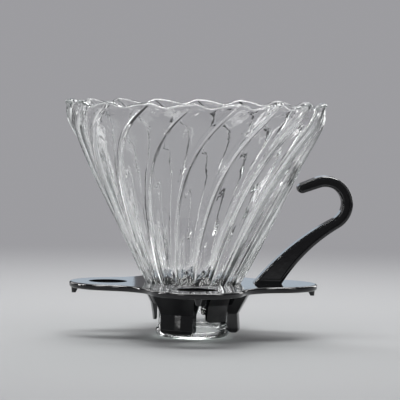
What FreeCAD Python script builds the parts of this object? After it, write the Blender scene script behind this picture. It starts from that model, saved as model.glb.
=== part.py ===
"""Pour over coffee dripper: a swirled glass cone that stands in a moulded plastic holder.

Millimetres, +Z up. The origin is on the axis of the glass, at the bottom of its foot.
The handle points along +X. The sheet "Sizes" holds every driving dimension.
"""
import FreeCAD, Part
import math
import os
import Sketcher
from FreeCAD import Placement, Rotation, Vector

doc = FreeCAD.newDocument("pour_over_dripper")
sheet = doc.addObject("Spreadsheet::Sheet", "Sizes")


class Size:
    """A number together with the sheet formula that gives it."""

    def __init__(self, value, formula=None):
        self.value = float(value)
        self.formula = formula or repr(self.value)

    def _with(self, other, sign, value):
        return Size(value, f"({self.formula} {sign} {other.formula})")

    def __add__(self, other):
        other = as_size(other)
        return self._with(other, "+", self.value + other.value)

    def __sub__(self, other):
        other = as_size(other)
        return self._with(other, "-", self.value - other.value)

    def __mul__(self, other):
        other = as_size(other)
        return self._with(other, "*", self.value * other.value)

    def __truediv__(self, other):
        other = as_size(other)
        return self._with(other, "/", self.value / other.value)

    def __neg__(self):
        return Size(-self.value, f"(0 - {self.formula})")


def as_size(number):
    return number if isinstance(number, Size) else Size(number)


def size(name, value):
    """Writes one driving dimension into the next row of the sheet."""
    row = size.rows = getattr(size, "rows", 0) + 1
    sheet.set(f"A{row}", name)
    sheet.set(f"B{row}", str(value))
    sheet.setAlias(f"B{row}", name)
    return Size(value, f"Sizes.{name}")


# Glass cone
glass_height = size("glass_height", 102.0)
glass_wall = size("glass_wall", 2.2)
rim_radius = size("rim_radius", 56.1)
lip_flare = size("lip_flare", 1.4)
lip_height = size("lip_height", 1.7)
petal_wave = size("petal_wave", 1.0)
petal_skew = size("petal_skew_share", 0.45)
shoulder_drop = size("shoulder_drop", 7.2)
shoulder_round = size("shoulder_round", 20.0)
neck_radius = size("neck_radius", 15.0)
neck_height = size("neck_height", 12.4)
neck_round = size("neck_round", 14.0)
outlet_radius = size("outlet_radius", 12.6)
bead_radius = size("bead_radius", 16.3)
bead_height = size("bead_height", 4.6)
bead_round = size("bead_round", 2.3)

# Swirled ribs of the glass
rib_count = size("rib_count", 18)
rib_height = size("rib_height", 0.8)
rib_root_depth = size("rib_root_depth", 0.6)
rib_start_sink = size("rib_start_sink", 0.05)
rib_start_rise = size("rib_start_rise", 1.0)
rib_fade_share = size("rib_fade_share", 0.2)
rib_width_low = size("rib_width_low", 2.6)
rib_width_high = size("rib_width_high", 5.0)
rib_swirl_angle = size("rib_swirl_angle", 38.5)
rib_swirl_share = size("rib_swirl_share", 0.5)
rib_start_angle = size("rib_start_angle", 8.0)
trim_spare = size("trim_spare", 1.0)

# Holder plate
plate_underside = size("plate_underside", 21.0)
plate_thickness = size("plate_thickness", 2.6)
plate_edge_round = size("plate_edge_round", 0.9)
lobe_reach = size("lobe_reach", 54.4)
lobe_radius = size("lobe_radius", 20.4)
waist_radius = size("waist_radius", 22.2)
sight_hole_radius = size("sight_hole_radius", 8.4)
sight_hole_inset = size("sight_hole_inset", 16.9)
nub_inset = size("nub_inset", 2.6)
nub_slant = size("nub_slant", 0.6)
nub_height = size("nub_height", 2.6)
nub_root_radius = size("nub_root_radius", 1.7)
nub_tip_radius = size("nub_tip_radius", 0.9)

# Sleeve, legs and clips under the plate
glass_clearance = size("glass_clearance", 0.35)
sleeve_land = size("sleeve_land", 0.3)
sleeve_wall = size("sleeve_wall", 2.2)
slit_width = size("slit_width", 1.6)
slit_height = size("slit_height", 4.6)
leg_spread_angle = size("leg_spread_angle", 113.75)
leg_bottom = size("leg_bottom", 2.1)
leg_kink_wall = size("leg_kink_wall", 3.65)
leg_kink_height = size("leg_kink_height", 10.6)
leg_toe_wall = size("leg_toe_wall", 4.35)
leg_shoulder_wall = size("leg_shoulder_wall", 6.25)
leg_shoulder_height = size("leg_shoulder_height", 18.0)
leg_root_wall = size("leg_root_wall", 6.85)
leg_half_width = size("leg_half_width", 7.5)
leg_shoulder_half_width = size("leg_shoulder_half_width", 9.4)
leg_corner_round = size("leg_corner_round", 1.9)
leg_toe_round = size("leg_toe_round", 1.9)
clip_bottom = size("clip_bottom", 7.4)
clip_kink_height = size("clip_kink_height", 10.0)
clip_kink_wall = size("clip_kink_wall", 1.25)
clip_toe_wall = size("clip_toe_wall", 0.95)
clip_spread_angle = size("clip_spread_angle", 55.0)
clip_half_width = size("clip_half_width", 5.3)
clip_corner_round = size("clip_corner_round", 1.7)
tongue_sweep = size("tongue_sweep_angle", 100.0)

# Hook handle
handle_width = size("handle_width", 9.0)
handle_web = size("handle_web", 5.4)
handle_root_gap = size("handle_root_gap", 5.25)
handle_root_length = size("handle_root_length", 12.4)
hook_glass_gap = size("hook_glass_gap", 4.6)
hook_height = size("hook_height", 59.0)
hook_outer_radius = size("hook_outer_radius", 12.2)
hook_inner_radius = size("hook_inner_radius", 7.45)
swoosh_outer_radius = size("swoosh_outer_radius", 75.0)
swoosh_inner_radius = size("swoosh_inner_radius", 112.0)
tip_setback = size("tip_setback", 10.15)
tip_rise = size("tip_rise", 6.65)
tip_radius = size("tip_radius", 2.15)
handle_border = size("handle_border", 1.5)
web_foot = size("web_foot", 2.0)
web_near_inset = size("web_near_inset", 3.5)
web_far_inset = size("web_far_inset", 0.4)
web_tip_setback = size("web_tip_setback", 8.9)
web_tip_rise = size("web_tip_rise", 7.15)
web_tip_radius = size("web_tip_radius", 0.7)
handle_edge_round = size("handle_edge_round", 1.2)
straight_behind = size("straight_behind_angle", 180.0)
doc.recompute()

# Ribs are lofted in steps that crowd towards the rim, where the swirl is fastest.
RIB_STEPS = 12
RIB_CROWDING = 1.6
SWIRL_POWER = 4
# Points on each petal of the rim line.
RIM_SAMPLES = 8

plate_top = plate_underside + plate_thickness
shoulder_height = glass_height - shoulder_drop
cone_slope = (rim_radius - neck_radius) / (shoulder_height - neck_height)


def bind(item, prop, term):
    item.setExpression(prop, as_size(term).formula)


def cone_radius(height):
    """Radius of the straight outer flank of the glass cone at a height."""
    return neck_radius + (as_size(height) - neck_height) * cone_slope


def slant(slope):
    """Length across a sloping wall for each millimetre square to it."""
    return Size(math.hypot(1.0, slope.value), f"sqrt(1 + {slope.formula}^2)")


def seat_radius(height):
    """Radius of the holder's inner face, which stands clear of the glass flank."""
    return cone_radius(height) + glass_clearance


# The bead under the neck has to pass every inner face of the holder when the glass lifts out.
throat_radius = bead_radius + glass_clearance
throat_top = neck_height + (bead_radius - neck_radius) / cone_slope
sleeve_bottom = throat_top - sleeve_land
leg_root_radius = seat_radius(plate_underside) + leg_root_wall

# The sight holes and nubs keep their insets from the ends of the lobes.
sight_hole_reach = lobe_reach - sight_hole_inset
nub_reach = lobe_reach - nub_inset

# The handle stands on the plate at its gap from the seat of the glass.
handle_root_near = seat_radius(plate_top) + handle_root_gap
handle_root_far = handle_root_near + handle_root_length

# The hook stands off the flank of the glass by its gap, measured square to the flank.
hook_stand_off = (hook_outer_radius + hook_glass_gap) * slant(cone_slope)
hook_reach = cone_radius(hook_height) + hook_stand_off

# The legs and clips mirror each other across the plane of the handle.
leg_angles = [as_size(0), leg_spread_angle, -leg_spread_angle]
clip_angles = [-clip_spread_angle, clip_spread_angle, straight_behind]


# ---------------------------------------------------------------- sketches and bodies


def new_body(label):
    body = doc.addObject("PartDesign::Body", label)
    body.Label = label
    return body


def origin_plane(body, role):
    return next(item for item in body.Origin.OriginFeatures if item.Role == role)


def new_sketch(body, name, role):
    sketch = body.newObject("Sketcher::SketchObject", name)
    sketch.AttachmentSupport = [(origin_plane(body, role), "")]
    sketch.MapMode = "FlatFace"
    return sketch


def pin_point(sketch, edge, point, x, y):
    """Holds a sketch point at the given coordinates."""
    for kind, term in (("DistanceX", as_size(x)), ("DistanceY", as_size(y))):
        place = sketch.addConstraint(Sketcher.Constraint(kind, edge, point, term.value))
        sketch.setExpression(f"Constraints[{place}]", term.formula)


def pin_radius(sketch, edge, radius):
    place = sketch.addConstraint(Sketcher.Constraint("Radius", edge, radius.value))
    sketch.setExpression(f"Constraints[{place}]", radius.formula)


def join(sketch, kind, edge, following):
    """Joins the end of one edge to the start of the next, tangent or plain."""
    sketch.addConstraint(Sketcher.Constraint(kind, edge, 2, following, 1))


def draw_polygon(sketch, corners):
    """Adds a closed outline whose corners are pairs of sizes."""
    points = [Vector(as_size(x).value, as_size(y).value, 0) for x, y in corners]
    first = sketch.GeometryCount
    count = len(points)
    for i in range(count):
        sketch.addGeometry(Part.LineSegment(points[i], points[(i + 1) % count]), False)
    for i in range(count):
        join(sketch, "Coincident", first + i, first + (i + 1) % count)
    for i, (x, y) in enumerate(corners):
        pin_point(sketch, first + i, 1, x, y)


def arc_between(centre, start, end, left=True):
    """Arc about a centre from start to end, turning left (or right) on the way."""
    a0 = math.atan2(start.y - centre.y, start.x - centre.x)
    a1 = math.atan2(end.y - centre.y, end.x - centre.x)
    circle = Part.Circle(centre, Vector(0, 0, 1), (start - centre).Length)
    return Part.ArcOfCircle(circle, a0, a1) if left else Part.ArcOfCircle(circle, a1, a0)


def revolve(body, sketch, sweep=360.0):
    feature = body.newObject("PartDesign::Revolution", sketch.Name + "_turned")
    feature.Profile = sketch
    feature.ReferenceAxis = (sketch, ["V_Axis"])
    feature.Midplane = True
    bind(feature, "Angle", sweep)
    doc.recompute()
    return feature


def fillet(body, base, name, radius, chosen):
    """Rounds the edges of the base feature for which chosen(edge) is true."""
    names = [f"Edge{i + 1}" for i, edge in enumerate(base.Shape.Edges) if chosen(edge)]
    feature = body.newObject("PartDesign::Fillet", name)
    feature.Base = (base, names)
    bind(feature, "Radius", radius)
    doc.recompute()
    return feature


def on_circle(radius, height, slack=0.02):
    """Chooses circular edges about the Z axis with a radius and a height."""

    def chosen(edge):
        curve = edge.Curve
        if curve.TypeId != "Part::GeomCircle":
            return False
        level = abs(curve.Center.z - as_size(height).value) < slack
        return level and abs(curve.Radius - as_size(radius).value) < slack

    return chosen


def pad(body, sketch, length, name):
    """Pads a sketch evenly to both sides of its plane."""
    feature = body.newObject("PartDesign::Pad", name)
    feature.Profile = sketch
    feature.SideType = "Symmetric"
    bind(feature, "Length", length)
    doc.recompute()
    return feature


def cut_through(body, sketch, name):
    """Cuts a sketch through the whole body, to both sides of its plane."""
    feature = body.newObject("PartDesign::Pocket", name)
    feature.Profile = sketch
    feature.Type = "ThroughAll"
    feature.SideType = "Symmetric"
    doc.recompute()
    return feature


# ---------------------------------------------------------------- glass cone


def swirl_angle(height):
    """Turn of a rib, in radians: slow up the flank and fast over the shoulder."""
    rise = (height - plate_top.value) / (glass_height.value - plate_top.value)
    rise = max(rise, 0.0)
    share = rib_swirl_share.value
    turned = rib_swirl_angle.value * (share * rise + (1 - share) * rise**SWIRL_POWER)
    return math.radians(rib_start_angle.value + turned)


def wall_radius(height):
    """Outer radius of the glass wall, with the shoulder arc between flank and rim."""
    lean = math.atan(cone_slope.value)
    tangent = shoulder_round.value * math.tan(lean / 2)
    arc_bottom = shoulder_height.value - tangent * math.cos(lean)
    arc_top = shoulder_height.value + tangent
    lip_bottom = glass_height.value - lip_height.value
    if height < arc_bottom:
        return cone_radius(height).value
    if height < arc_top:
        centre = rim_radius.value - shoulder_round.value
        return centre + math.sqrt(shoulder_round.value**2 - (arc_top - height) ** 2)
    flare = lip_flare.value / (lip_height.value + petal_wave.value)
    return rim_radius.value + flare * max(height - lip_bottom, 0.0)


def rib_section(height, rise, crest):
    """Three-sided outline of one rib at a height, rooted inside the glass wall."""
    radius = wall_radius(height)
    angle = swirl_angle(height)
    outward = Vector(math.cos(angle), math.sin(angle), 0)
    along = Vector(-math.sin(angle), math.cos(angle), 0)
    half = (rib_width_low.value + rise * (rib_width_high.value - rib_width_low.value)) / 2
    depth = rib_root_depth.value
    points = []
    for side, out in ((-half, -depth), (0.0, crest), (half, -depth)):
        point = outward * (radius + out) + along * side
        points.append(Vector(point.x, point.y, height))
    return Part.makePolygon(points + points[:1])


def build_rib():
    """One swirled rib, lofted up the wall from a vanishing root to above the rim."""
    low = plate_top.value + rib_start_rise.value
    high = glass_height.value + petal_wave.value + trim_spare.value / 2
    sections = []
    for i in range(RIB_STEPS + 1):
        share = i / RIB_STEPS
        rise = 1 - (1 - share) ** RIB_CROWDING
        height = low + (high - low) * rise
        grown = min(1.0, share / rib_fade_share.value)
        crest = rib_height.value * grown - rib_start_sink.value
        sections.append(rib_section(height, rise, crest))
    return Part.makeLoft(sections, True, False)


def wave(angle):
    """Petal wave of the rim, from -1 to 1: gentle rise and steep fall round the rim."""
    turn = rib_count.value * (angle - swirl_angle(glass_height.value))
    return math.cos(turn + petal_skew.value * (1 - math.cos(turn)))


def build_rim_cutter():
    """Everything above the wavy rim line, as a ring whose underside is the wave."""
    curves = []
    samples = int(rib_count.value) * RIM_SAMPLES
    reach = 4 * glass_wall.value
    for radius in (rim_radius.value - reach, rim_radius.value + reach):
        points = []
        for i in range(samples):
            angle = 2 * math.pi * i / samples
            height = glass_height.value + petal_wave.value * wave(angle)
            points.append(Vector(radius * math.cos(angle), radius * math.sin(angle), height))
        curve = Part.BSplineCurve()
        curve.interpolate(Points=points, PeriodicFlag=True)
        curves.append(curve.toShape())
    underside = Part.makeRuledSurface(curves[0], curves[1])
    return underside.extrude(Vector(0, 0, reach))


def build_glass():
    """Turned wall, fused with the ring of swirled ribs and trimmed to the petal rim."""
    body = new_body("glass_wall_body")
    section = new_sketch(body, "glass_section", "XZ_Plane")
    rim_top = glass_height + petal_wave + trim_spare
    lip_bottom = glass_height - lip_height
    lip_out = lip_flare * (rim_top - lip_bottom) / (lip_height + petal_wave)
    inner_rim = rim_radius - glass_wall
    flank_gap = glass_wall * slant(cone_slope)
    bore_top = neck_height + (outlet_radius + flank_gap - neck_radius) / cone_slope
    inner_shoulder = shoulder_height + (flank_gap - glass_wall) / cone_slope
    draw_polygon(
        section,
        [
            (outlet_radius, 0),
            (bead_radius, 0),
            (bead_radius, bead_height),
            (neck_radius, bead_height),
            (neck_radius, neck_height),
            (rim_radius, shoulder_height),
            (rim_radius, lip_bottom),
            (rim_radius + lip_out, rim_top),
            (inner_rim + lip_out, rim_top),
            (inner_rim, lip_bottom),
            (inner_rim, inner_shoulder),
            (outlet_radius, bore_top),
        ],
    )
    wall = revolve(body, section)
    wall = fillet(body, wall, "bead_rounded", bead_round, on_circle(bead_radius, 0))
    wall = fillet(body, wall, "neck_rounded", neck_round, on_circle(neck_radius, neck_height))
    wall = fillet(body, wall, "shoulder_rounded", shoulder_round,
                  on_circle(rim_radius, shoulder_height))
    wall = fillet(body, wall, "inner_shoulder_rounded", shoulder_round - glass_wall,
                  on_circle(inner_rim, inner_shoulder))
    body.Tip = wall

    ribs = doc.addObject("Part::Feature", "rib_ring")
    rib = build_rib()
    turns = [360.0 * i / rib_count.value for i in range(int(rib_count.value))]
    ribs.Shape = Part.makeCompound([rib.rotated(Vector(), Vector(0, 0, 1), t) for t in turns])
    ribbed = doc.addObject("Part::MultiFuse", "ribbed_wall")
    ribbed.Shapes = [body, ribs]
    cutter = doc.addObject("Part::Feature", "rim_cutter")
    cutter.Shape = build_rim_cutter()
    glass = doc.addObject("Part::Cut", "glass_cone")
    glass.Base = ribbed
    glass.Tool = cutter
    return named(glass, "glass_cone")


# ---------------------------------------------------------------- holder


def draw_plate_outline(sketch):
    """Four round lobes on the axes, joined by hollow waists on the diagonals."""
    lobe_centre = lobe_reach - lobe_radius
    spread = lobe_radius.value + waist_radius.value
    near = lobe_centre.value
    waist_centre = (near + math.sqrt(2 * spread**2 - near**2)) / 2
    edges = []
    for i in range(4):
        turn = Rotation(Vector(0, 0, 1), 90.0 * i)
        lobe = turn.multVec(Vector(near, 0, 0))
        before = turn.multVec(Vector(waist_centre, -waist_centre, 0))
        after = turn.multVec(Vector(waist_centre, waist_centre, 0))
        following = turn.multVec(Vector(0, near, 0))
        share = lobe_radius.value / spread
        start = lobe + (before - lobe) * share
        end = lobe + (after - lobe) * share
        onward = following + (after - following) * share
        edges.append(sketch.addGeometry(arc_between(lobe, start, end), False))
        edges.append(sketch.addGeometry(arc_between(after, end, onward, False), False))
    for i in range(8):
        sketch_tangent(sketch, edges[i], edges[(i + 1) % 8], i % 2 == 1)
    for i in range(4):
        x = lobe_centre * (1, 0, -1, 0)[i]
        y = lobe_centre * (0, 1, 0, -1)[i]
        pin_point(sketch, edges[2 * i], 3, x, y)
        pin_radius(sketch, edges[2 * i], lobe_radius)
        pin_radius(sketch, edges[2 * i + 1], waist_radius)


def sketch_tangent(sketch, edge, following, from_right_turn):
    """Smooth joint between a left-turning and a right-turning arc, which run opposite ways."""
    point = 1 if from_right_turn else 2
    sketch.addConstraint(Sketcher.Constraint("Tangent", edge, point, following, point))


def build_plate():
    body = new_body("holder_plate")
    outline = new_sketch(body, "plate_outline", "XY_Plane")
    draw_plate_outline(outline)
    slab = body.newObject("PartDesign::Pad", "plate_slab")
    slab.Profile = outline
    bind(slab, "Length", plate_thickness)
    bind(outline, ".AttachmentOffset.Base.z", plate_underside)
    doc.recompute()
    edge_levels = (plate_underside.value, plate_top.value)
    rounded = fillet(body, slab, "plate_edges_rounded", plate_edge_round,
                     lambda edge: any(abs(edge.BoundBox.ZMin - z) < 0.01
                                      and abs(edge.BoundBox.ZMax - z) < 0.01
                                      for z in edge_levels))

    holes = new_sketch(body, "sight_holes", "XY_Plane")
    for i, (x, y) in enumerate(((-1, 0), (0, -1), (0, 1))):
        centre = Vector(x, y, 0) * sight_hole_reach.value
        holes.addGeometry(Part.Circle(centre, Vector(0, 0, 1), sight_hole_radius.value), False)
        pin_point(holes, i, 3, sight_hole_reach * x, sight_hole_reach * y)
        pin_radius(holes, i, sight_hole_radius)
    cut_through(body, holes, "sight_holes_cut")

    seat = new_sketch(body, "seat_section", "XZ_Plane")
    low = plate_underside - plate_thickness
    high = plate_top + plate_thickness
    draw_polygon(seat, [(0, low), (seat_radius(low), low), (seat_radius(high), high), (0, high)])
    groove = body.newObject("PartDesign::Groove", "seat_cut")
    groove.Profile = seat
    groove.ReferenceAxis = (seat, ["V_Axis"])
    groove.Angle = 360.0
    body.Tip = groove
    doc.recompute()
    return named(body, "holder_plate")


def build_sleeve():
    """Short cone under the plate that follows the glass, with a slit beside each clip."""
    body = new_body("sleeve_body")
    section = new_sketch(body, "sleeve_section", "XZ_Plane")
    draw_polygon(
        section,
        [
            (throat_radius, sleeve_bottom),
            (seat_radius(sleeve_bottom) + sleeve_wall, sleeve_bottom),
            (seat_radius(plate_underside) + sleeve_wall, plate_underside),
            (seat_radius(plate_underside), plate_underside),
            (throat_radius, throat_top),
        ],
    )
    body.Tip = revolve(body, section)
    slits = [build_slits(f"slits_{i + 1}", angle) for i, angle in enumerate(clip_angles)]
    sleeve = doc.addObject("Part::Cut", "neck_collar")
    sleeve.Base = body
    sleeve.Tool = group(slits, "all_slits")
    return named(sleeve, "neck_collar")


def build_slits(name, angle):
    """Cutter for the two slits beside a clip, turned with the clip about the axis."""
    blocks = []
    for i, inner_edge in enumerate((clip_half_width, -clip_half_width - slit_width)):
        block = doc.addObject("Part::Box", f"{name}_{i + 1}")
        bind(block, "Length", leg_root_radius)
        bind(block, "Width", slit_width)
        bind(block, "Height", slit_height + sleeve_land)
        bind(block, ".Placement.Base.y", inner_edge)
        bind(block, ".Placement.Base.z", sleeve_bottom - sleeve_land)
        blocks.append(block)
    return turned(group(blocks, name), angle)


def turned(item, angle):
    """Turns a finished item about the Z axis by an angle of the sheet."""
    item.Placement = Placement(Vector(), Rotation(Vector(0, 0, 1), angle.value))
    item.setExpression(".Placement.Rotation.Angle", angle.formula)
    return item


def group(shapes, name):
    union = doc.addObject("Part::MultiFuse", name)
    union.Shapes = shapes
    return union


def rounded_tongue(name, half_width, bottom, round_size, shoulders):
    """Block seen along X: a tongue with round lower corners and wider shoulders."""
    body = new_body(name)
    face = new_sketch(body, f"{name}_face", "YZ_Plane")
    right = [(half_width, bottom)] + shoulders
    left = [(-x, z) for x, z in reversed(right)]
    draw_polygon(face, right + left)
    block = pad(body, face, leg_root_radius * 4, f"{name}_block")
    body.Tip = fillet(body, block, f"{name}_corners", round_size,
                      lambda edge: abs(edge.BoundBox.ZMax - as_size(bottom).value) < 0.01
                      and edge.BoundBox.YLength < 0.01)
    return body


def turned_tongue(name, section_corners, tongue, angle, rounds):
    """Common part of a turned section and a tongue, set at its angle about the axis."""
    body = new_body(f"{name}_turned")
    section = new_sketch(body, f"{name}_section", "XZ_Plane")
    draw_polygon(section, section_corners)
    ring = revolve(body, section, tongue_sweep)
    for i, (radius, height, amount) in enumerate(rounds):
        ring = fillet(body, ring, f"{name}_round_{i + 1}", amount, on_circle(radius, height))
    body.Tip = ring
    piece = doc.addObject("Part::Common", name)
    piece.Base = body
    piece.Tool = tongue
    return named(turned(piece, angle), name)


def build_leg(i):
    leg_toe_radius = throat_radius + leg_toe_wall
    sleeve_low = seat_radius(sleeve_bottom) + sleeve_wall
    sleeve_high = seat_radius(plate_underside) + sleeve_wall
    corners = [
        (throat_radius, leg_bottom),
        (leg_toe_radius, leg_bottom),
        (throat_radius + leg_kink_wall, leg_kink_height),
        (seat_radius(leg_shoulder_height) + leg_shoulder_wall, leg_shoulder_height),
        (leg_root_radius, plate_underside),
        (sleeve_high, plate_underside),
        (sleeve_low, sleeve_bottom),
        (throat_radius, sleeve_bottom),
    ]
    shoulders = [
        (leg_half_width, leg_kink_height),
        (leg_shoulder_half_width, leg_shoulder_height),
        (leg_shoulder_half_width, plate_underside),
    ]
    name = f"guard_leg_{i + 1}"
    tongue = rounded_tongue(f"{name}_tongue", leg_half_width, leg_bottom, leg_corner_round,
                            shoulders)
    rounds = [(throat_radius, leg_bottom, leg_toe_round), (leg_toe_radius, leg_bottom, leg_toe_round)]
    return turned_tongue(name, corners, tongue, leg_angles[i], rounds)


def build_clip(i):
    corners = [
        (throat_radius, clip_bottom),
        (throat_radius + clip_toe_wall, clip_bottom),
        (throat_radius + clip_kink_wall, clip_kink_height),
        (seat_radius(sleeve_bottom) + sleeve_wall, sleeve_bottom),
        (throat_radius, sleeve_bottom),
    ]
    name = f"snap_clip_{i + 1}"
    tongue = rounded_tongue(f"{name}_tongue", clip_half_width, clip_bottom, clip_corner_round,
                            [(clip_half_width, sleeve_bottom)])
    return turned_tongue(name, corners, tongue, clip_angles[i], [])


def build_nub(i):
    """Small slanted tooth under the end of a lobe."""
    name = f"plate_nub_{i + 1}"
    rings = []
    for end, radius, reach, height in (
        ("root", nub_root_radius, nub_reach, plate_underside),
        ("tip", nub_tip_radius, nub_reach + nub_slant, plate_underside - nub_height),
    ):
        ring = doc.addObject("Part::Circle", f"{name}_{end}")
        bind(ring, "Radius", radius)
        bind(ring, ".Placement.Base.x", reach)
        bind(ring, ".Placement.Base.z", height)
        rings.append(ring)
    nub = doc.addObject("Part::Loft", name)
    nub.Sections = rings
    nub.Solid = True
    nub.Ruled = True
    nub.Placement = Placement(Vector(), Rotation(Vector(0, 0, 1), 90.0 * i))
    return named(nub, name)


# ---------------------------------------------------------------- handle


def far_centre(root, hook, sweep, ring):
    """Centre of the sweep arc that starts at the root and meets the hook ring smoothly."""
    reach = sweep + ring
    gap = hook - root
    along = (sweep**2 - reach**2 + gap.Length**2) / (2 * gap.Length)
    aside = math.sqrt(sweep**2 - along**2)
    gap.normalize()
    return root + gap * along + Vector(gap.y, -gap.x, 0) * aside


def draw_hook(sketch, foot, near, far, border, setback, rise, tip_r):
    """Closed hook outline: two sweeps, two hook arcs, two straights and a round tip."""
    tip_x, tip_z = hook_reach - setback, hook_height + rise
    hook = Vector(hook_reach.value, hook_height.value, 0)
    tip = Vector(tip_x.value, tip_z.value, 0)
    outer, inner = hook_outer_radius - border, hook_inner_radius + border
    sweep_out, sweep_in = swoosh_outer_radius + border, swoosh_inner_radius - border
    root_far = Vector(far.value, foot.value, 0)
    root_near = Vector(near.value, foot.value, 0)
    centre_far = far_centre(root_far, hook, sweep_out.value, outer.value)
    centre_near = far_centre(root_near, hook, sweep_in.value, inner.value)
    leave_far = hook + (centre_far - hook).normalize() * outer.value
    leave_near = hook + (centre_near - hook).normalize() * inner.value
    gap = tip - hook
    bearing = math.atan2(gap.y, gap.x)
    turn_out = bearing - math.acos((outer.value - tip_r.value) / gap.Length)
    turn_in = bearing - math.acos((inner.value + tip_r.value) / gap.Length)
    normal_out = Vector(math.cos(turn_out), math.sin(turn_out), 0)
    normal_in = Vector(math.cos(turn_in), math.sin(turn_in), 0)
    top_out = hook + normal_out * outer.value
    top_in = hook + normal_in * inner.value
    tip_out = tip + normal_out * tip_r.value
    tip_in = tip - normal_in * tip_r.value

    sketch.addGeometry(arc_between(centre_far, root_far, leave_far, False), False)
    sketch.addGeometry(arc_between(hook, leave_far, top_out), False)
    sketch.addGeometry(Part.LineSegment(top_out, tip_out), False)
    sketch.addGeometry(arc_between(tip, tip_out, tip_in), False)
    sketch.addGeometry(Part.LineSegment(tip_in, top_in), False)
    sketch.addGeometry(arc_between(hook, leave_near, top_in), False)
    sketch.addGeometry(arc_between(centre_near, root_near, leave_near, False), False)
    sketch.addGeometry(Part.LineSegment(root_near, root_far), False)

    for first, first_end, second, second_end in (
        (0, 1, 1, 1), (1, 2, 2, 1), (2, 2, 3, 1), (3, 2, 4, 1), (4, 2, 5, 2), (5, 1, 6, 1),
    ):
        rule = Sketcher.Constraint("Tangent", first, first_end, second, second_end)
        sketch.addConstraint(rule)
    sketch.addConstraint(Sketcher.Constraint("Coincident", 6, 2, 7, 1))
    sketch.addConstraint(Sketcher.Constraint("Coincident", 7, 2, 0, 2))
    pin_point(sketch, 7, 1, near, foot)
    pin_point(sketch, 7, 2, far, foot)
    pin_point(sketch, 1, 3, hook_reach, hook_height)
    pin_point(sketch, 5, 3, hook_reach, hook_height)
    pin_point(sketch, 3, 3, tip_x, tip_z)
    for edge, radius in ((0, sweep_out), (1, outer), (3, tip_r), (5, inner), (6, sweep_in)):
        pin_radius(sketch, edge, radius)


def build_handle():
    """Hook handle standing on the plate: a raised border round a thinner web."""
    body = new_body("handle")
    outline = new_sketch(body, "handle_outline", "XZ_Plane")
    draw_hook(outline, plate_top, handle_root_near, handle_root_far, as_size(0),
              tip_setback, tip_rise, tip_radius)
    solid = pad(body, outline, handle_width, "handle_solid")
    side = handle_width.value / 2
    foot = plate_top.value
    fillet(body, solid, "handle_edges_rounded", handle_edge_round,
           lambda edge: edge.BoundBox.YLength < 0.01 and edge.BoundBox.ZMax > foot + 0.01
           and abs(abs(edge.BoundBox.YMin) - side) < 0.01)
    panel = new_sketch(body, "web_outline", "XZ_Plane")
    draw_hook(panel, plate_top + web_foot, handle_root_near + web_near_inset,
              handle_root_far - web_far_inset, handle_border,
              web_tip_setback, web_tip_rise, web_tip_radius)
    cut_through(body, panel, "web_cut")
    body.Tip = pad(body, panel, handle_web, "web_filled")
    return named(body, "handle")


# ---------------------------------------------------------------- assembly and files

nodes = []


def named(item, name):
    """Gives a finished piece its label and puts it on the list of files to write."""
    item.Label = name
    nodes.append(item)
    return item


build_glass()
build_plate()
build_sleeve()
for number in range(3):
    build_leg(number)
    build_clip(number)
build_handle()
for number in range(4):
    build_nub(number)
doc.recompute()

for item in doc.Objects:
    if {"Invalid", "Error"} & set(item.State):
        raise RuntimeError(f"{item.Name} did not recompute: {item.State}")
for item in nodes:
    if item.Shape.isNull() or not item.Shape.isValid():
        raise RuntimeError(f"{item.Label} has no valid shape")
    if len(item.Shape.Solids) != 1:
        raise RuntimeError(f"{item.Label} is not one solid")

os.makedirs("parts", exist_ok=True)
for item in nodes:
    item.Shape.exportStep(f"parts/{item.Label}.step")
    print(f"{item.Label}: {item.Shape.Volume:.0f} mm3, {len(item.Shape.Faces)} faces")
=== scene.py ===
"""Looks for the pour over dripper: clear swirled glass in a glossy black holder on a pale set."""

import math

import bpy
from mathutils import Matrix, Vector


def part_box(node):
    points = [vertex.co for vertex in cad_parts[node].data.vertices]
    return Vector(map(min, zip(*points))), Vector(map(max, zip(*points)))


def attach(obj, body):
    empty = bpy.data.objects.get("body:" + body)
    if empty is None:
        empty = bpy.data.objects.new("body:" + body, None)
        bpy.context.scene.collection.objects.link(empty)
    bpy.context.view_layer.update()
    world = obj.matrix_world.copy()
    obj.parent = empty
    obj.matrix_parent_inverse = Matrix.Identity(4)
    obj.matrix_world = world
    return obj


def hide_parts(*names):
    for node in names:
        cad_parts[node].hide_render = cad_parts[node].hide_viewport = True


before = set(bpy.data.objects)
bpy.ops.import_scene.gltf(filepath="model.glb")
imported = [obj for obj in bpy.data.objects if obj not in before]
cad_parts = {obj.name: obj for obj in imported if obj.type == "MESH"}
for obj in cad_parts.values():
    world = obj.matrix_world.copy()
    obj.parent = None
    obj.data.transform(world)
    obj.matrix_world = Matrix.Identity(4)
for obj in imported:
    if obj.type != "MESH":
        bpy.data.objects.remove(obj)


def note_size():
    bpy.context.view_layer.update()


note_size()

# ---------------------------------------------------------------- driving dimensions

MM = 0.001
_, glass_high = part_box("glass_cone")
_, plate_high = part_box("holder_plate")

# Wall of the glass: foot bead, neck, straight flank, round shoulder and petal rim with a lip.
PLATE_TOP = plate_high[2]
RIM_TOP = glass_high[2]
PETAL_WAVE = 1.0 * MM
PETAL_SKEW = 0.45
PETAL_FADE_POWER = 6
RIM_LEVEL = RIM_TOP - PETAL_WAVE
WALL = 2.2 * MM
LIP = WALL / 2
LIP_LEVEL = RIM_LEVEL - LIP
RIM_RADIUS = 56.1 * MM
LIP_FLARE = 1.4 * MM
LIP_HEIGHT = 1.7 * MM
SHOULDER = RIM_LEVEL - 7.2 * MM
SHOULDER_ROUND = 20.0 * MM
NECK_RADIUS = 15.0 * MM
NECK_HEIGHT = 12.4 * MM
NECK_ROUND = 14.0 * MM
OUTLET_RADIUS = 12.6 * MM
BEAD_RADIUS = 16.3 * MM
BEAD_HEIGHT = 4.6 * MM

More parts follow.
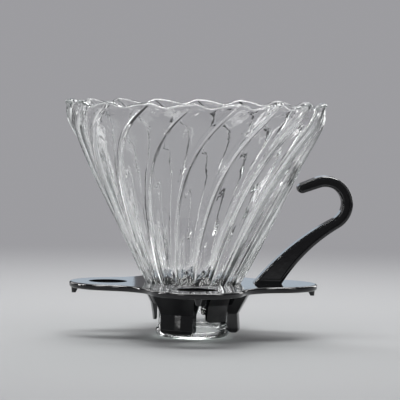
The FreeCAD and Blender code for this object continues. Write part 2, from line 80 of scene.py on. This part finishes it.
# Soft corner between bead and neck: rows out from the neck and up from the bead.
CORNER_ROWS = ((0.25 * MM, 0.12 * MM), (0.0, 0.6 * MM))
CORNER_HEIGHT = 1.2 * MM

SLOPE = (RIM_RADIUS - NECK_RADIUS) / (SHOULDER - NECK_HEIGHT)
LEAN = math.atan(SLOPE)
HALF_LEAN = math.tan(LEAN / 2)
NECK_ARC_LOW = NECK_HEIGHT - NECK_ROUND * HALF_LEAN
NECK_ARC_HIGH = NECK_HEIGHT + NECK_ROUND * HALF_LEAN * math.cos(LEAN)
SHOULDER_ARC_LOW = SHOULDER - SHOULDER_ROUND * HALF_LEAN * math.cos(LEAN)
SHOULDER_ARC_HIGH = SHOULDER + SHOULDER_ROUND * HALF_LEAN

# Ribs: a narrow crest, lower and wider towards the rim, on a weak swell.
RIBS = 18
RIB_PITCH = 2 * math.pi / RIBS
RIB_CREST_LOW = 0.85 * MM
RIB_CREST_HIGH = 0.6 * MM
RIB_HALF_LOW = 0.7 * MM
RIB_HALF_HIGH = 1.3 * MM
RIB_STEEP_SIDE = 0.7
CREST_POWER = 1.5
RIB_SWELL = 0.36 * MM
SWELL_SINK = 0.6
RIB_START = PLATE_TOP - 4 * MM
RIB_FADE = 12 * MM

# Inner face: a weak swell, a ridge beside each rib and fine streaks that fade out upwards.
INNER_SWELL = 0.12 * MM
INNER_CREST = 0.15 * MM
INNER_OFFSET = math.radians(2.0)
INNER_STREAK = 0.09 * MM
STREAKS_PER_RIB = 3

# Swirl of the ribs: a steady share and a share that comes over the shoulder.
SWIRL = math.radians(38.5)
SWIRL_SHARE = 0.5
SWIRL_POWER = 4
START_TURN = math.radians(8.0)

# Mesh of the glass. The bead's last steps are left out to make room for the soft corner.
RIB_COLUMNS = 24
COLUMN_CROWDING = 1.6
FOOT_ROWS = 3
BEAD_STEPS = 16
BEAD_STEPS_LEFT_OUT = 2
NECK_ROWS = 8
OUTER_ROWS = 112
LIP_STEPS = 10
INNER_ROWS = 72

# Floor and backdrop: all pale up to one distance from the object, all grey from another.
PALE_FLOOR = (0.56, 0.563, 0.57, 1.0)
PLAIN_GREY = (0.335, 0.333, 0.35, 1.0)
PALE_UP_TO = 0.12
GREY_FROM = 0.55
GLOSS_DIMMING = 0.45
SWEEP_WIDTH = 8.0
SWEEP_FRONT = -4.0
SWEEP_BACK = 3.2
SWEEP_HEIGHT = 2.6
SWEEP_BEND = 1.2
BEND_STEPS = 16
WORLD_COLOR = (0.75, 0.77, 0.8, 1.0)
WORLD_STRENGTH = 0.22

# Soft lamps that face the middle of the object: name, place, width, height and watts.
MIDDLE = (0.0, 0.0, 0.06)
SOFT_LAMPS = (
    ("left_panel", (-0.8, 1.0, 0.45), 0.5, 0.9, 2.6),
    ("right_panel", (0.72, 1.0, 0.45), 0.5, 0.9, 4.6),
    ("top_box", (0.0, -0.1, 1.1), 1.0, 0.5, 5.5),
    ("rear_box", (0.0, 0.95, 0.9), 1.1, 0.6, 7.5),
    ("left_strip", (-0.62, -0.75, 0.35), 0.26, 0.6, 1.4),
    ("right_strip", (0.7, -0.5, 0.35), 0.3, 0.6, 0.6),
)
GLOSS_LAMPS = (
    ("edge_light", (0.0, 0.0, 1.05), 1.4, 0.45, 36.0),
    ("left_glint", (-1.0, 0.2, 0.45), 0.1, 0.8, 5.0),
)
WINDOWS = (
    ("left_window", (-0.33, 2.2, 0.34), 0.7, 0.44, 0.6),
    ("right_window", (0.47, 2.2, 0.34), 0.7, 0.44, 0.6),
)
WINDOW_COLOR = (0.72, 0.86, 1.0)

# Black cards that face the middle of the object: name, place, width and height.
DARK_CARDS = (
    ("left_card", (-0.33, 1.0, 0.4), 0.32, 1.0),
    ("right_card", (0.3, 1.0, 0.4), 0.24, 1.0),
)

# Camera at the photograph's viewing angle, with the photograph's framing.
CAMERA_DISTANCE = 1.104
CAMERA_HEIGHT = 0.1216
CAMERA_AZIMUTH = math.radians(-92.35)
CAMERA_ROLL = math.radians(1.01)
AIM_HEIGHT = 0.054
SENSOR_WIDTH = 36.0
FOCAL_LENGTH = 227.2
SHIFT_X = 0.0135
SHIFT_Y = 0.0324


# ---------------------------------------------------------------- glass cone


def rise_share(z):
    """Share of the way from the plate up to the rim, nothing below the plate."""
    return max((z - PLATE_TOP) / (RIM_LEVEL - PLATE_TOP), 0.0)


def swirl(z):
    """Turn of a rib at a height: slow up the flank and fast over the shoulder."""
    rise = rise_share(z)
    return START_TURN + SWIRL * (SWIRL_SHARE * rise + (1 - SWIRL_SHARE) * rise**SWIRL_POWER)


def wall_radius(z):
    """Outer radius of the wall: straight neck, round fillet, flank, shoulder, rim and lip."""
    if z < NECK_ARC_LOW:
        return NECK_RADIUS
    if z < NECK_ARC_HIGH:
        up = z - NECK_ARC_LOW
        return NECK_RADIUS + NECK_ROUND - math.sqrt(NECK_ROUND**2 - up**2)
    if z < SHOULDER_ARC_LOW:
        return NECK_RADIUS + (z - NECK_HEIGHT) * SLOPE
    if z < SHOULDER_ARC_HIGH:
        down = SHOULDER_ARC_HIGH - z
        return RIM_RADIUS - SHOULDER_ROUND + math.sqrt(SHOULDER_ROUND**2 - down**2)
    over = max(z - (RIM_LEVEL - LIP_HEIGHT), 0.0) / (LIP_HEIGHT + PETAL_WAVE)
    return RIM_RADIUS + LIP_FLARE * over


def lean_at(z):
    """Lean of the wall from upright at a height, eased from the flank to the upright rim."""
    share = (SHOULDER_ARC_HIGH - z) / (SHOULDER_ARC_HIGH - SHOULDER_ARC_LOW)
    return LEAN * min(max(share, 0.0), 1.0)


def crest_and_swell(z, angle):
    """Height of the narrow crest as a share of its full height, and the wave between ribs."""
    turn = (angle - swirl(z) + RIB_PITCH / 2) % RIB_PITCH - RIB_PITCH / 2
    across = turn * wall_radius(z)
    rise = min(rise_share(z), 1.0)
    half = RIB_HALF_LOW + (RIB_HALF_HIGH - RIB_HALF_LOW) * rise
    if across > 0:
        half *= RIB_STEEP_SIDE
    crest = 1 / (1 + (across / half) ** 2) ** CREST_POWER
    return crest, math.cos(RIBS * turn)


def rib_strength(z):
    """Share of the ribs' full height: nothing in the neck, full from the lower flank up."""
    rise = min(max((z - RIB_START) / RIB_FADE, 0.0), 1.0)
    return rise * rise * (3 - 2 * rise)


def outer_point(z, angle):
    """Radius of the outer face at a height and angle, ribs included."""
    crest, swell = crest_and_swell(z, angle)
    rise = min(rise_share(z), 1.0)
    crest_height = RIB_CREST_LOW + (RIB_CREST_HIGH - RIB_CREST_LOW) * rise
    lift = crest_height * crest + RIB_SWELL * (swell - SWELL_SINK)
    return wall_radius(z) + lift * rib_strength(z)


def inner_point(z, angle):
    """Radius of the inner face at a height and angle, never inside the outlet."""
    crest, swell = crest_and_swell(z, angle + INNER_OFFSET)
    radius = wall_radius(z) - WALL / math.cos(lean_at(z))
    rise = min(rise_share(z), 1.0)
    streak = (1 - rise) * math.cos(STREAKS_PER_RIB * RIBS * (angle - swirl(z)))
    lift = INNER_SWELL * swell - INNER_CREST * crest + INNER_STREAK * streak
    return max(radius + lift * rib_strength(z), OUTLET_RADIUS)


def rim_wave(angle):
    """Petal wave of the rim from -1 to 1: a gentle rise and a steep fall round the rim."""
    phase = RIBS * (angle - swirl(RIM_LEVEL))
    return math.cos(phase + PETAL_SKEW * (1 - math.cos(phase)))


def fixed_row(radius, height):
    """A plain round row of one radius and height."""
    return START_TURN, lambda angle: radius, lambda angle: height


def wall_row(z, face):
    """A row of the wall that rises and falls with the petals near the rim."""
    share = (z - PLATE_TOP) / (LIP_LEVEL - PLATE_TOP)
    ripple = max(share, 0.0) ** PETAL_FADE_POWER * PETAL_WAVE

    def height(angle):
        return z + ripple * rim_wave(angle)

    return swirl(z), lambda angle: face(height(angle), angle), height


def lip_row(turn):
    """A row of the round lip, from the outer face at turn 0 to the inner face at pi."""

    def height(angle):
        return LIP_LEVEL + PETAL_WAVE * rim_wave(angle) + LIP * math.sin(turn)

    def radius(angle):
        level = LIP_LEVEL + PETAL_WAVE * rim_wave(angle)
        share = (1 + math.cos(turn)) / 2
        return share * outer_point(level, angle) + (1 - share) * inner_point(level, angle)

    return swirl(LIP_LEVEL), radius, height


def spread(low, high, count):
    """Even steps from low, short of high."""
    return [low + (high - low) * i / count for i in range(count)]


def glass_rows():
    """Rows of the wall from the outlet, out round the foot, up, over the lip and down inside.

    Each row is its turn round the axis and two functions of the angle: its radius and its height.
    """
    bead = BEAD_HEIGHT / 2
    centre = BEAD_RADIUS - bead
    rows = [fixed_row(radius, 0.0) for radius in spread(OUTLET_RADIUS, centre, FOOT_ROWS)]
    for i in range(BEAD_STEPS - BEAD_STEPS_LEFT_OUT):
        turn = math.pi * i / BEAD_STEPS - math.pi / 2
        rows.append(fixed_row(centre + bead * math.cos(turn), bead + bead * math.sin(turn)))
    for out, up in CORNER_ROWS:
        rows.append(fixed_row(NECK_RADIUS + out, BEAD_HEIGHT + up))
    for z in spread(BEAD_HEIGHT + CORNER_HEIGHT, RIB_START, NECK_ROWS):
        rows.append(fixed_row(wall_radius(z), z))
    for z in spread(RIB_START, LIP_LEVEL, OUTER_ROWS):
        rows.append(wall_row(z, outer_point))
    for i in range(LIP_STEPS + 1):
        rows.append(lip_row(math.pi * i / LIP_STEPS))
    for z in reversed(spread(NECK_HEIGHT, LIP_LEVEL, INNER_ROWS)):
        rows.append(wall_row(z, inner_point))
    for z in (NECK_HEIGHT / 2, NECK_HEIGHT / 4):
        rows.append(fixed_row(OUTLET_RADIUS, z))
    return rows


def column_turns():
    """Turns of the columns from the first rib's crest, crowded together about each crest."""
    turns = []
    for rib in range(RIBS):
        for i in range(RIB_COLUMNS):
            share = 2 * i / RIB_COLUMNS - 1
            away = math.copysign(abs(share) ** COLUMN_CROWDING, share) / 2
            turns.append(RIB_PITCH * (rib + away))
    return turns


def smooth_thing(name, points, faces):
    """Smooth mesh object in the scene."""
    mesh = bpy.data.meshes.new(name)
    mesh.from_pydata(points, [], faces)
    mesh.update()
    mesh.polygons.foreach_set("use_smooth", [True] * len(faces))
    thing = bpy.data.objects.new(name, mesh)
    bpy.context.scene.collection.objects.link(thing)
    return thing


def build_glass():
    """Closed mesh of the glass, which rides on the glass body in place of glass_cone."""
    turns = column_turns()
    columns = len(turns)
    rows = glass_rows()
    points = []
    for start, radius, height in rows:
        for turn in turns:
            angle = start + turn
            r = radius(angle)
            points.append((r * math.cos(angle), r * math.sin(angle), height(angle)))
    faces = []
    for j in range(len(rows)):
        below = j * columns
        above = (j + 1) % len(rows) * columns
        for i in range(columns):
            k = (i + 1) % columns
            faces.append((below + i, below + k, above + k, above + i))
    glass = smooth_thing("swirled_glass", points, faces)
    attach(glass, "glass")
    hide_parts("glass_cone")
    return glass


# ---------------------------------------------------------------- materials


def new_material(name):
    """An empty node material, its nodes and its links."""
    material = bpy.data.materials.new(name)
    material.use_nodes = True
    nodes = material.node_tree.nodes
    nodes.clear()
    return material, nodes, material.node_tree.links


def add_node(nodes, kind, values):
    """A new node with the given values on its own sockets."""
    node = nodes.new(kind)
    for socket, value in values.items():
        node.inputs[socket].default_value = value
    return node


def combine(nodes, links, operation, first, second):
    """A clamped Math node on two sockets."""
    math_node = nodes.new("ShaderNodeMath")
    math_node.operation = operation
    math_node.use_clamp = True
    links.new(first, math_node.inputs[0])
    links.new(second, math_node.inputs[1])
    return math_node.outputs["Value"]


def mix_shaders(nodes, links, share, first, second):
    """A mix of two shaders by a share."""
    mix = nodes.new("ShaderNodeMixShader")
    links.new(share, mix.inputs["Fac"])
    links.new(first, mix.inputs[1])
    links.new(second, mix.inputs[2])
    return mix.outputs["Shader"]


def add_bump(nodes, links, height, shader, strength, distance):
    """A bump from a height to a shader's normal."""
    bump = add_node(nodes, "ShaderNodeBump", {"Strength": strength, "Distance": distance})
    links.new(height, bump.inputs["Height"])
    links.new(bump.outputs["Normal"], shader.inputs["Normal"])


def clear_glass():
    """Clear glass with a faint green in its depth and a trace of ripple on its faces.

    Shadow rays and rays from matt surfaces pass straight through it, so that each lamp lights the
    floor once. A path goes straight on after three mirrored bounces.
    """
    material, nodes, links = new_material("clear_glass")
    output = nodes.new("ShaderNodeOutputMaterial")
    shader = add_node(nodes, "ShaderNodeBsdfPrincipled", {
        "Base Color": (1.0, 1.0, 1.0, 1.0),
        "Roughness": 0.0,
        "IOR": 1.5,
        "Transmission Weight": 1.0,
    })
    ripple = add_node(nodes, "ShaderNodeTexNoise", {"Scale": 60.0, "Detail": 1.0})
    add_bump(nodes, links, ripple.outputs["Fac"], shader, strength=0.05, distance=0.0005)
    onward = add_node(nodes, "ShaderNodeBsdfTransparent", {"Color": (0.55, 0.56, 0.56, 1.0)})
    clear = add_node(nodes, "ShaderNodeBsdfTransparent", {"Color": (0.93, 0.95, 0.94, 1.0)})
    path = nodes.new("ShaderNodeLightPath")
    spent = add_node(nodes, "ShaderNodeMath", {1: 2.5})
    spent.operation = "GREATER_THAN"
    links.new(path.outputs["Glossy Depth"], spent.inputs[0])
    straight = combine(nodes, links, "ADD", path.outputs["Is Shadow Ray"],
                       path.outputs["Is Diffuse Ray"])
    let_go = mix_shaders(nodes, links, spent.outputs["Value"], shader.outputs["BSDF"],
                         onward.outputs["BSDF"])
    surface = mix_shaders(nodes, links, straight, let_go, clear.outputs["BSDF"])
    links.new(surface, output.inputs["Surface"])
    tint = add_node(nodes, "ShaderNodeVolumeAbsorption", {
        "Color": (0.86, 0.97, 0.92, 1.0),
        "Density": 12.0,
    })
    links.new(tint.outputs["Volume"], output.inputs["Volume"])
    return material


def holder_plastic():
    """Glossy black moulded plastic with faint smudges and the slight waviness of its skin."""
    material, nodes, links = new_material("holder_plastic")
    output = nodes.new("ShaderNodeOutputMaterial")
    shader = add_node(nodes, "ShaderNodeBsdfPrincipled", {
        "Base Color": (0.004, 0.004, 0.005, 1.0),
        "IOR": 1.6,
    })
    place = nodes.new("ShaderNodeTexCoord")
    smudge = add_node(nodes, "ShaderNodeTexNoise", {"Scale": 90.0, "Detail": 4.0})
    links.new(place.outputs["Object"], smudge.inputs["Vector"])
    shine = add_node(nodes, "ShaderNodeMapRange", {"To Min": 0.03, "To Max": 0.1})
    links.new(smudge.outputs["Fac"], shine.inputs["Value"])
    links.new(shine.outputs["Result"], shader.inputs["Roughness"])
    skin = add_node(nodes, "ShaderNodeTexNoise", {"Scale": 320.0, "Detail": 2.0})
    links.new(place.outputs["Object"], skin.inputs["Vector"])
    add_bump(nodes, links, skin.outputs["Fac"], shader, strength=0.08, distance=0.0002)
    links.new(shader.outputs["BSDF"], output.inputs["Surface"])
    return material


def matt_black(name):
    """Matt black of the dark cards."""
    material, nodes, links = new_material(name)
    output = nodes.new("ShaderNodeOutputMaterial")
    shader = add_node(nodes, "ShaderNodeBsdfPrincipled", {
        "Base Color": (0.02, 0.02, 0.022, 1.0),
        "Roughness": 0.9,
    })
    links.new(shader.outputs["BSDF"], output.inputs["Surface"])
    return material


def pale_backdrop():
    """Pale lit floor round the object, which passes into a plain grey further out.

    Camera rays, mirrored rays and rays through the glass see the plain grey, and mirrored rays see
    it dimmed. A ray through smooth glass counts as glossy too, so it is taken off the mirrored.
    """
    material, nodes, links = new_material("pale_backdrop")
    output = nodes.new("ShaderNodeOutputMaterial")
    lit = add_node(nodes, "ShaderNodeBsdfPrincipled", {
        "Base Color": PALE_FLOOR,
        "Roughness": 0.75,
        "Specular IOR Level": 0.0,
    })
    plain = add_node(nodes, "ShaderNodeEmission", {"Color": PLAIN_GREY})
    place = nodes.new("ShaderNodeTexCoord")
    away = nodes.new("ShaderNodeVectorMath")
    away.operation = "LENGTH"
    links.new(place.outputs["Object"], away.inputs[0])
    fade = add_node(nodes, "ShaderNodeMapRange", {"From Min": PALE_UP_TO, "From Max": GREY_FROM})
    fade.interpolation_type = "SMOOTHSTEP"
    links.new(away.outputs["Value"], fade.inputs["Value"])
    path = nodes.new("ShaderNodeLightPath")
    seen = combine(nodes, links, "ADD", path.outputs["Is Camera Ray"],
                   path.outputs["Is Glossy Ray"])
    seen = combine(nodes, links, "ADD", seen, path.outputs["Is Transmission Ray"])
    share = combine(nodes, links, "MULTIPLY", seen, fade.outputs["Result"])
    mirrored = combine(nodes, links, "SUBTRACT", path.outputs["Is Glossy Ray"],
                       path.outputs["Is Transmission Ray"])
    dimming = add_node(nodes, "ShaderNodeMath", {1: GLOSS_DIMMING - 1.0, 2: 1.0})
    dimming.operation = "MULTIPLY_ADD"
    links.new(mirrored, dimming.inputs[0])
    links.new(dimming.outputs["Value"], plain.inputs["Strength"])
    surface = mix_shaders(nodes, links, share, lit.outputs["BSDF"], plain.outputs["Emission"])
    links.new(surface, output.inputs["Surface"])
    return material


def set_material(thing, material):
    """Gives a thing one material all over."""
    thing.data.materials.clear()
    thing.data.materials.append(material)
    for face in thing.data.polygons:
        face.material_index = 0


# ---------------------------------------------------------------- set, lamps and camera


def facing(place, target):
    """Rotation that turns a lamp or a card at a place to face a target."""
    return (Vector(target) - Vector(place)).to_track_quat("-Z", "Y").to_euler()


def build_sweep():
    """Floor that curves up into a back wall behind the object."""
    bend_start = SWEEP_BACK - SWEEP_BEND
    profile = [(SWEEP_FRONT, 0.0), (bend_start, 0.0)]
    for i in range(1, BEND_STEPS + 1):
        turn = math.pi / 2 * i / BEND_STEPS
        y = bend_start + SWEEP_BEND * math.sin(turn)
        profile.append((y, SWEEP_BEND - SWEEP_BEND * math.cos(turn)))
    profile.append((SWEEP_BACK, SWEEP_HEIGHT))
    sides = (-SWEEP_WIDTH / 2, SWEEP_WIDTH / 2)
    points = [(x, y, z) for y, z in profile for x in sides]
    faces = [(2 * i, 2 * i + 1, 2 * i + 3, 2 * i + 2) for i in range(len(profile) - 1)]
    sweep = smooth_thing("sweep", points, faces)
    set_material(sweep, pale_backdrop())


def soft_box(name, place, width, height, watts):
    """Rectangular soft lamp that faces the middle of the object and is out of the picture."""
    lamp = bpy.data.lights.new(name, "AREA")
    lamp.shape = "RECTANGLE"
    lamp.size = width
    lamp.size_y = height
    lamp.energy = watts
    holder = bpy.data.objects.new(name, lamp)
    bpy.context.scene.collection.objects.link(holder)
    holder.location = place
    holder.rotation_euler = facing(place, MIDDLE)
    holder.visible_camera = False
    return holder


def dark_card(name, place, width, height):
    """Black card that faces the middle and only shows in the glass and the gloss."""
    corners = ((-1, -1), (1, -1), (1, 1), (-1, 1))
    points = [(x * width / 2, y * height / 2, 0.0) for x, y in corners]
    mesh = bpy.data.meshes.new(name)
    mesh.from_pydata(points, [], [(0, 1, 2, 3)])
    card = bpy.data.objects.new(name, mesh)
    bpy.context.scene.collection.objects.link(card)
    card.location = place
    card.rotation_euler = facing(place, MIDDLE)
    card.visible_camera = False
    card.visible_diffuse = False
    card.visible_shadow = False
    set_material(card, matt_black(name))


def build_lamps():
    """Soft lamps, lamps that only show in gloss, and windows that don't show through glass."""
    for lamp in SOFT_LAMPS:
        soft_box(*lamp)
    for lamp in GLOSS_LAMPS:
        glint = soft_box(*lamp)
        glint.visible_diffuse = False
        glint.visible_transmission = False
    for lamp in WINDOWS:
        window = soft_box(*lamp)
        window.data.color = WINDOW_COLOR
        window.visible_transmission = False


def build_camera():
    """Long lens in front, a little above the plate, turned a little round from square."""
    lens = bpy.data.cameras.new("camera")
    lens.sensor_width = SENSOR_WIDTH
    lens.lens = FOCAL_LENGTH
    lens.shift_x = SHIFT_X
    lens.shift_y = SHIFT_Y
    lens.dof.use_dof = False
    camera = bpy.data.objects.new("camera", lens)
    bpy.context.scene.collection.objects.link(camera)
    x = CAMERA_DISTANCE * math.cos(CAMERA_AZIMUTH)
    y = CAMERA_DISTANCE * math.sin(CAMERA_AZIMUTH)
    place = Vector((x, y, CAMERA_HEIGHT))
    look = (Vector((0, 0, AIM_HEIGHT)) - place).to_track_quat("-Z", "Y").to_matrix().to_4x4()
    camera.matrix_world = Matrix.Translation(place) @ look @ Matrix.Rotation(CAMERA_ROLL, 4, "Z")
    bpy.context.scene.camera = camera


def build_world():
    """Even, weak, slightly cool light from all round."""
    world = bpy.data.worlds.new("soft_world")
    world.use_nodes = True
    background = world.node_tree.nodes["Background"]
    background.inputs["Color"].default_value = WORLD_COLOR
    background.inputs["Strength"].default_value = WORLD_STRENGTH
    bpy.context.scene.world = world


set_material(build_glass(), clear_glass())
plastic = holder_plastic()
for name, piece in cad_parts.items():
    if name != "glass_cone":
        set_material(piece, plastic)
build_sweep()
build_world()
build_lamps()
for card in DARK_CARDS:
    dark_card(*card)
build_camera()

bpy.context.scene.view_settings.view_transform = "Standard"

note_size()
